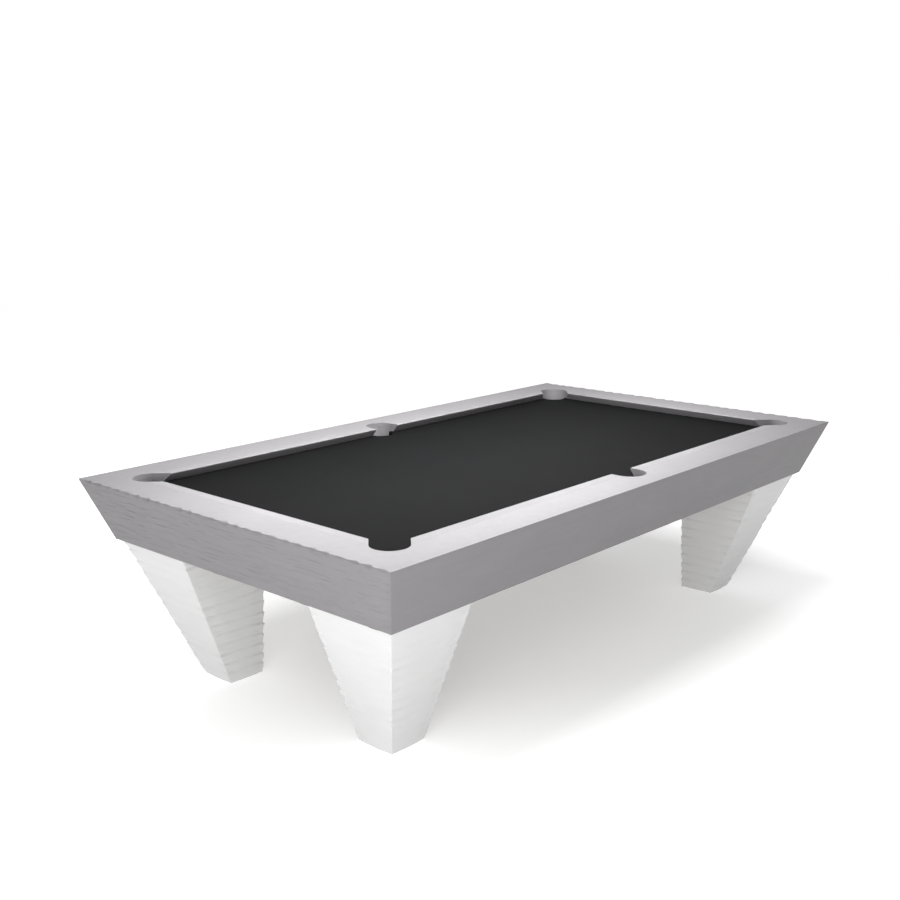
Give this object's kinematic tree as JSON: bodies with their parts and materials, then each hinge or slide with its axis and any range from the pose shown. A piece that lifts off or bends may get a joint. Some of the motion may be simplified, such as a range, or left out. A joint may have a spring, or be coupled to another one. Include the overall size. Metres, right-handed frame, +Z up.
{
  "type": "pool table",
  "caption": "Slate-bed pool table with a flat grey rail, a slanted apron, six drop pockets, black cloth and tapered white block legs with levelling feet.",
  "frame": {"origin": "on the floor under the middle of the table", "axes": "+X along the table to its right end, +Y to its back, +Z up; the picture looks from the front-left corner, so its left face is the -X end and its right face is the -Y side"},
  "size_m": [2.92, 1.65, 0.795],
  "materials": {
    "grey_carving": "matt grey lacquer over a shallow hand-carved ripple",
    "white_carving": "satin white lacquer over a shallow hand-carved ripple",
    "cushion_cloth": "grey napless wool cloth over rubber",
    "bed_cloth": "black worsted wool cloth, stretched",
    "slate": "honed slate",
    "hardwood": "planed beech, clear sealed",
    "steel": "zinc-plated, dull",
    "pocket_rubber": "black moulded rubber"
  },
  "bodies": {
    "table": {"rail_cap_front": "grey_carving", "apron_panel_front": "grey_carving", "rail_body_front": "hardwood", "rail_cap_back": "grey_carving", "apron_panel_back": "grey_carving", "rail_body_back": "hardwood", "rail_cap_left": "grey_carving", "apron_panel_left": "grey_carving", "rail_body_left": "hardwood", "rail_cap_right": "grey_carving", "apron_panel_right": "grey_carving", "rail_body_right": "hardwood", "cushion_front_left": "cushion_cloth", "cushion_front_right": "cushion_cloth", "cushion_back_left": "cushion_cloth", "cushion_back_right": "cushion_cloth", "cushion_left": "cushion_cloth", "cushion_right": "cushion_cloth", "slate_left": "slate", "slate_middle": "slate", "slate_right": "slate", "bed_cloth": "bed_cloth", "frame_beam_front": "hardwood", "frame_beam_back": "hardwood", "frame_end_beam_left": "hardwood", "frame_end_beam_right": "hardwood", "slate_joint_beam_left": "hardwood", "slate_joint_beam_right": "hardwood", "frame_centre_beam": "hardwood", "leg_shell_back_right": "white_carving", "leg_core_back_right": "steel", "leg_shell_back_left": "white_carving", "leg_core_back_left": "steel", "leg_shell_front_left": "white_carving", "leg_core_front_left": "steel", "leg_shell_front_right": "white_carving", "leg_core_front_right": "steel", "pocket_liner_front_left": "grey_carving", "pocket_cup_front_left": "pocket_rubber", "pocket_liner_front_middle": "grey_carving", "pocket_cup_front_middle": "pocket_rubber", "pocket_liner_front_right": "grey_carving", "pocket_cup_front_right": "pocket_rubber", "pocket_liner_back_left": "grey_carving", "pocket_cup_back_left": "pocket_rubber", "pocket_liner_back_middle": "grey_carving", "pocket_cup_back_middle": "pocket_rubber", "pocket_liner_back_right": "grey_carving", "pocket_cup_back_right": "pocket_rubber"},
    "collar_back_right": {"levelling_collar_back_right": "steel"},
    "foot_back_right": {"levelling_foot_back_right": "steel"},
    "collar_back_left": {"levelling_collar_back_left": "steel"},
    "foot_back_left": {"levelling_foot_back_left": "steel"},
    "collar_front_left": {"levelling_collar_front_left": "steel"},
    "foot_front_left": {"levelling_foot_front_left": "steel"},
    "collar_front_right": {"levelling_collar_front_right": "steel"},
    "foot_front_right": {"levelling_foot_front_right": "steel"}
  },
  "joints": [
    {"name": "collar_spin_back_right", "type": "hinge", "parent": "table", "child": "collar_back_right", "pos_m": [1.0685, 0.4335, 0.035], "axis": [0, 0, 1], "range_deg": [0, 2880]},
    {"name": "foot_slide_back_right", "type": "slide", "parent": "table", "child": "foot_back_right", "axis": [0, 0, -1], "range_m": [0, 0.02]},
    {"name": "collar_spin_back_left", "type": "hinge", "parent": "table", "child": "collar_back_left", "pos_m": [-1.0685, 0.4335, 0.035], "axis": [0, 0, 1], "range_deg": [0, 2880]},
    {"name": "foot_slide_back_left", "type": "slide", "parent": "table", "child": "foot_back_left", "axis": [0, 0, -1], "range_m": [0, 0.02]},
    {"name": "collar_spin_front_left", "type": "hinge", "parent": "table", "child": "collar_front_left", "pos_m": [-1.0685, -0.4335, 0.035], "axis": [0, 0, 1], "range_deg": [0, 2880]},
    {"name": "foot_slide_front_left", "type": "slide", "parent": "table", "child": "foot_front_left", "axis": [0, 0, -1], "range_m": [0, 0.02]},
    {"name": "collar_spin_front_right", "type": "hinge", "parent": "table", "child": "collar_front_right", "pos_m": [1.0685, -0.4335, 0.035], "axis": [0, 0, 1], "range_deg": [0, 2880]},
    {"name": "foot_slide_front_right", "type": "slide", "parent": "table", "child": "foot_front_right", "axis": [0, 0, -1], "range_m": [0, 0.02]}
  ],
  "couplings": [
    {"joint": "foot_slide_back_right", "follows": "collar_spin_back_right", "m_per_rad": 0.00039789},
    {"joint": "foot_slide_back_left", "follows": "collar_spin_back_left", "m_per_rad": 0.00039789},
    {"joint": "foot_slide_front_left", "follows": "collar_spin_front_left", "m_per_rad": 0.00039789},
    {"joint": "foot_slide_front_right", "follows": "collar_spin_front_right", "m_per_rad": 0.00039789}
  ]
}
